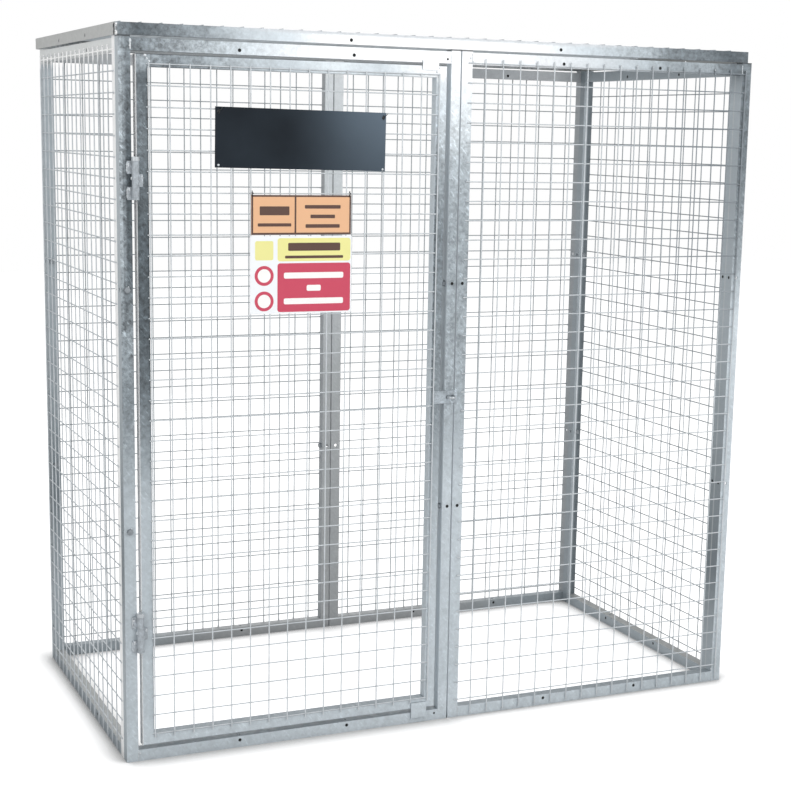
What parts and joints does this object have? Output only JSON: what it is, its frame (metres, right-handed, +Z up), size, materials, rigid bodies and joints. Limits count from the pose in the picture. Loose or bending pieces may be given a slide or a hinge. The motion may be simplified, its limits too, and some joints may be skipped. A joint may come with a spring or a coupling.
{
  "type": "gas cylinder cage",
  "caption": "Galvanised walk-up cage of welded mesh in angle-iron frames with a roof, a hinged mesh door, a hasp with a staple for a padlock and blank sign plates.",
  "frame": {"origin": "middle of the overall footprint at floor level", "axes": "+X to the right along the front, +Y from the door to the rear, +Z up"},
  "size_m": [1.812, 0.982, 1.843],
  "materials": {
    "galvanised_steel": "hot-dip galvanised, spangled",
    "mesh_wire": "galvanised wire",
    "bright_zinc": "zinc plated",
    "name_plate": "satin",
    "orange_plate": "satin",
    "notice_board": "satin"
  },
  "bodies": {
    "cage": {"front_left_frame": "galvanised_steel", "front_right_frame": "galvanised_steel", "left_side_frame": "galvanised_steel", "right_side_frame": "galvanised_steel", "rear_left_frame": "galvanised_steel", "rear_right_frame": "galvanised_steel", "roof_frame": "galvanised_steel", "front_uprights": "mesh_wire", "front_levels": "mesh_wire", "left_uprights": "mesh_wire", "left_levels": "mesh_wire", "right_uprights": "mesh_wire", "right_levels": "mesh_wire", "rear_left_uprights": "mesh_wire", "rear_left_levels": "mesh_wire", "rear_right_uprights": "mesh_wire", "rear_right_levels": "mesh_wire", "roof_long_wires": "mesh_wire", "roof_cross_wires": "mesh_wire", "hinge_frame_knuckles": "galvanised_steel", "hinge_pins": "bright_zinc", "hasp_staple": "bright_zinc", "long_bolts": "bright_zinc", "short_bolts": "bright_zinc", "nuts": "bright_zinc", "washers": "bright_zinc"},
    "door": {"door_frame": "galvanised_steel", "door_uprights": "mesh_wire", "door_levels": "mesh_wire", "hinge_door_knuckles": "galvanised_steel", "hasp_plate": "galvanised_steel", "upper_door_stop": "galvanised_steel", "lower_door_stop": "galvanised_steel", "name_plate": "name_plate", "orange_plate": "orange_plate", "notice_board": "notice_board"}
  },
  "joints": [
    {"name": "door_hinge", "type": "hinge", "parent": "cage", "child": "door", "pos_m": [-0.863, -0.474, 0.904], "axis": [0, 0, -1], "range_deg": [0, 180]}
  ]
}
